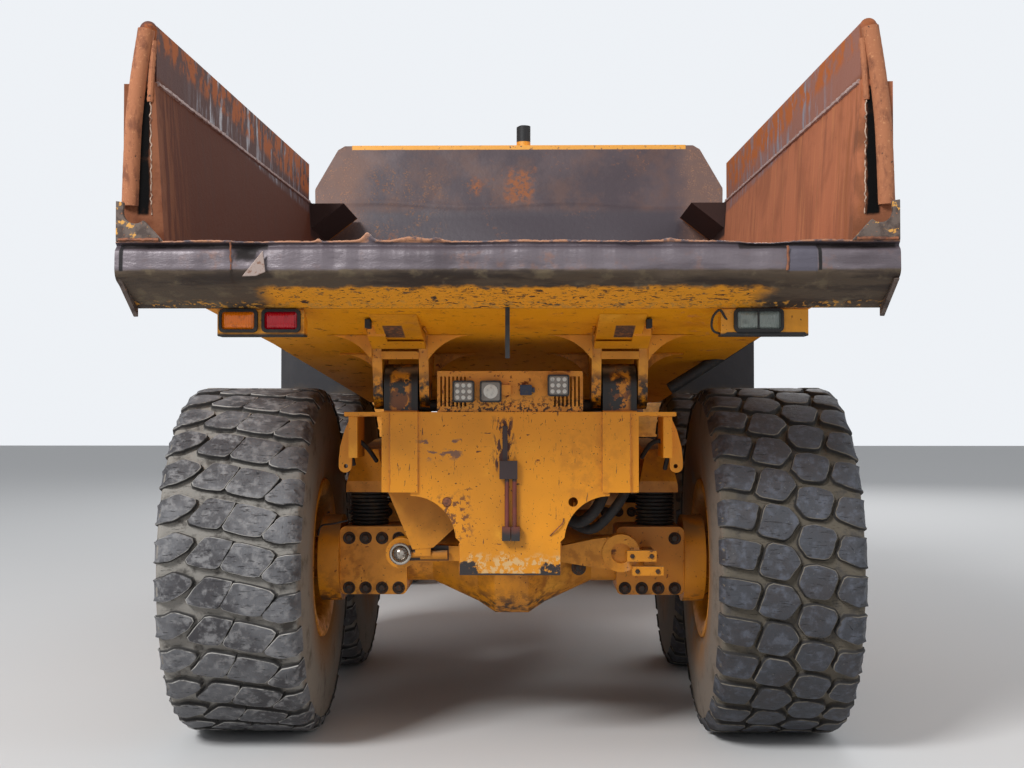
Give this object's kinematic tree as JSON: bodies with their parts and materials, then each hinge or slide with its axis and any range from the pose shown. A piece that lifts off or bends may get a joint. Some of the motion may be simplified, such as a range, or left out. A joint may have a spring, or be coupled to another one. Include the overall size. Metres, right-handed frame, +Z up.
{
  "type": "articulated dump truck",
  "caption": "Six-wheel articulated hauler: tractor with cab and engine, steering and roll hitch, rear frame with bogie, and a tipping open dump body.",
  "frame": {"origin": "on the ground, at the middle of the whole machine's box", "axes": "+Y to the nose, +X to the machine's right, +Z up"},
  "size_m": [3.492, 11.264, 4.115],
  "materials": {
    "yellow_paint": "worn satin",
    "rim_paint": "dusty satin",
    "rusty_steel": "rusted and scoured",
    "dark_steel": "matt",
    "chromed_rod": "polished",
    "spring_rubber": "matt",
    "tyre_rubber": "worn and dusty",
    "clear_glass": "clear",
    "black_plastic": "matt"
  },
  "bodies": {
    "rear_frame": {"rear_frame": "yellow_paint", "bogie_beams": "yellow_paint", "bogie_axles": "yellow_paint", "torque_rods": "yellow_paint", "rubber_springs": "spring_rubber", "drive_shafts": "dark_steel", "rear_panel": "yellow_paint", "tow_pin": "rusty_steel"},
    "dump_body": {"body_tub": "rusty_steel", "headboard": "rusty_steel", "side_bands": "rusty_steel", "tail_lip": "rusty_steel", "hinge_brackets": "yellow_paint", "lamp_boxes": "black_plastic", "mudflaps": "spring_rubber"},
    "hitch": {"hitch_yoke": "yellow_paint"},
    "tractor": {"tractor_frame": "yellow_paint", "front_axle": "yellow_paint", "engine_block": "dark_steel", "radiator": "dark_steel", "bumper": "yellow_paint", "fenders": "yellow_paint", "steps": "dark_steel", "cab_shell": "yellow_paint", "cab_roof": "yellow_paint", "cab_glass": "clear_glass", "cab_interior": "black_plastic", "exhaust": "dark_steel", "rails_and_mirrors": "dark_steel", "tanks": "yellow_paint", "tractor_lamps": "clear_glass"},
    "hood": {"hood": "yellow_paint", "grille": "dark_steel"},
    "cab_door": {"cab_door": "yellow_paint", "door_glass": "clear_glass"},
    "wheel_front_left": {"tyre_front_left": "tyre_rubber", "rim_front_left": "rim_paint"},
    "wheel_front_right": {"tyre_front_right": "tyre_rubber", "rim_front_right": "rim_paint"},
    "wheel_mid_left": {"tyre_mid_left": "tyre_rubber", "rim_mid_left": "rim_paint"},
    "wheel_mid_right": {"tyre_mid_right": "tyre_rubber", "rim_mid_right": "rim_paint"},
    "wheel_rear_left": {"tyre_rear_left": "tyre_rubber", "rim_rear_left": "rim_paint"},
    "wheel_rear_right": {"tyre_rear_right": "tyre_rubber", "rim_rear_right": "rim_paint"},
    "hoist_barrels": {"hoist_barrels": "yellow_paint"},
    "hoist_rods": {"hoist_rods": "chromed_rod"},
    "steer_barrel_left": {"steer_barrel_left": "yellow_paint"},
    "steer_rod_left": {"steer_rod_left": "chromed_rod"},
    "steer_barrel_right": {"steer_barrel_right": "yellow_paint"},
    "steer_rod_right": {"steer_rod_right": "chromed_rod"}
  },
  "joints": [
    {"name": "tip", "type": "hinge", "parent": "rear_frame", "child": "dump_body", "pos_m": [0, -4.48, 1.86], "axis": [1, 0, 0], "range_deg": [0, 70]},
    {"name": "hoist_swing", "type": "hinge", "parent": "rear_frame", "child": "hoist_barrels", "pos_m": [0, -0.6, 0.96], "axis": [1, 0, 0], "range_deg": [-18.95, 0.5]},
    {"name": "hoist_slide", "type": "slide", "parent": "hoist_barrels", "child": "hoist_rods", "axis": [0, -0.9539, 0.3001], "range_m": [-0.005, 1.5074]},
    {"name": "roll", "type": "hinge", "parent": "rear_frame", "child": "hitch", "pos_m": [0, 0.65, 1], "axis": [0, 1, 0], "range_deg": [-15, 15]},
    {"name": "steer", "type": "hinge", "parent": "hitch", "child": "tractor", "pos_m": [0, 1.254, 1], "axis": [0, 0, 1], "range_deg": [-45, 45]},
    {"name": "hood_tilt", "type": "hinge", "parent": "tractor", "child": "hood", "pos_m": [0, 5.4, 1.33], "axis": [-1, 0, 0], "range_deg": [0, 60]},
    {"name": "door_swing", "type": "hinge", "parent": "tractor", "child": "cab_door", "pos_m": [-0.959, 1.822, 2.6], "axis": [0, 0, 1], "range_deg": [0, 75]},
    {"name": "spin_front_left", "type": "hinge", "parent": "tractor", "child": "wheel_front_left", "pos_m": [-1.381, 2.531, 0.935], "axis": [1, 0, 0], "continuous": true},
    {"name": "spin_front_right", "type": "hinge", "parent": "tractor", "child": "wheel_front_right", "pos_m": [1.381, 2.531, 0.935], "axis": [1, 0, 0], "continuous": true},
    {"name": "spin_mid_left", "type": "hinge", "parent": "rear_frame", "child": "wheel_mid_left", "pos_m": [-1.381, -1.987, 0.935], "axis": [1, 0, 0], "continuous": true},
    {"name": "spin_mid_right", "type": "hinge", "parent": "rear_frame", "child": "wheel_mid_right", "pos_m": [1.381, -1.987, 0.935], "axis": [1, 0, 0], "continuous": true},
    {"name": "spin_rear_left", "type": "hinge", "parent": "rear_frame", "child": "wheel_rear_left", "pos_m": [-1.381, -3.927, 0.935], "axis": [1, 0, 0], "continuous": true},
    {"name": "spin_rear_right", "type": "hinge", "parent": "rear_frame", "child": "wheel_rear_right", "pos_m": [1.381, -3.927, 0.935], "axis": [1, 0, 0], "continuous": true},
    {"name": "steer_swing_left", "type": "hinge", "parent": "tractor", "child": "steer_barrel_left", "pos_m": [-0.5, 2.234, 1], "axis": [0, 0, 1], "range_deg": [-1.55, 1.55]},
    {"name": "steer_slide_left", "type": "slide", "parent": "steer_barrel_left", "child": "steer_rod_left", "axis": [0.1334, -0.9911, 0], "range_m": [-0.2624, 0.2624]},
    {"name": "steer_swing_right", "type": "hinge", "parent": "tractor", "child": "steer_barrel_right", "pos_m": [0.5, 2.234, 1], "axis": [0, 0, 1], "range_deg": [-1.55, 1.55]},
    {"name": "steer_slide_right", "type": "slide", "parent": "steer_barrel_right", "child": "steer_rod_right", "axis": [-0.1334, -0.9911, 0], "range_m": [-0.2624, 0.2624]}
  ],
  "couplings": [
    {"joint": "hoist_swing", "follows": "tip", "ratio": -0.2635},
    {"joint": "hoist_slide", "follows": "tip", "m_per_rad": 1.2298},
    {"joint": "steer_swing_left", "follows": "steer", "ratio": 0.023397},
    {"joint": "steer_slide_left", "follows": "steer", "m_per_rad": -0.32772},
    {"joint": "steer_swing_right", "follows": "steer", "ratio": 0.023397},
    {"joint": "steer_slide_right", "follows": "steer", "m_per_rad": 0.32772}
  ]
}
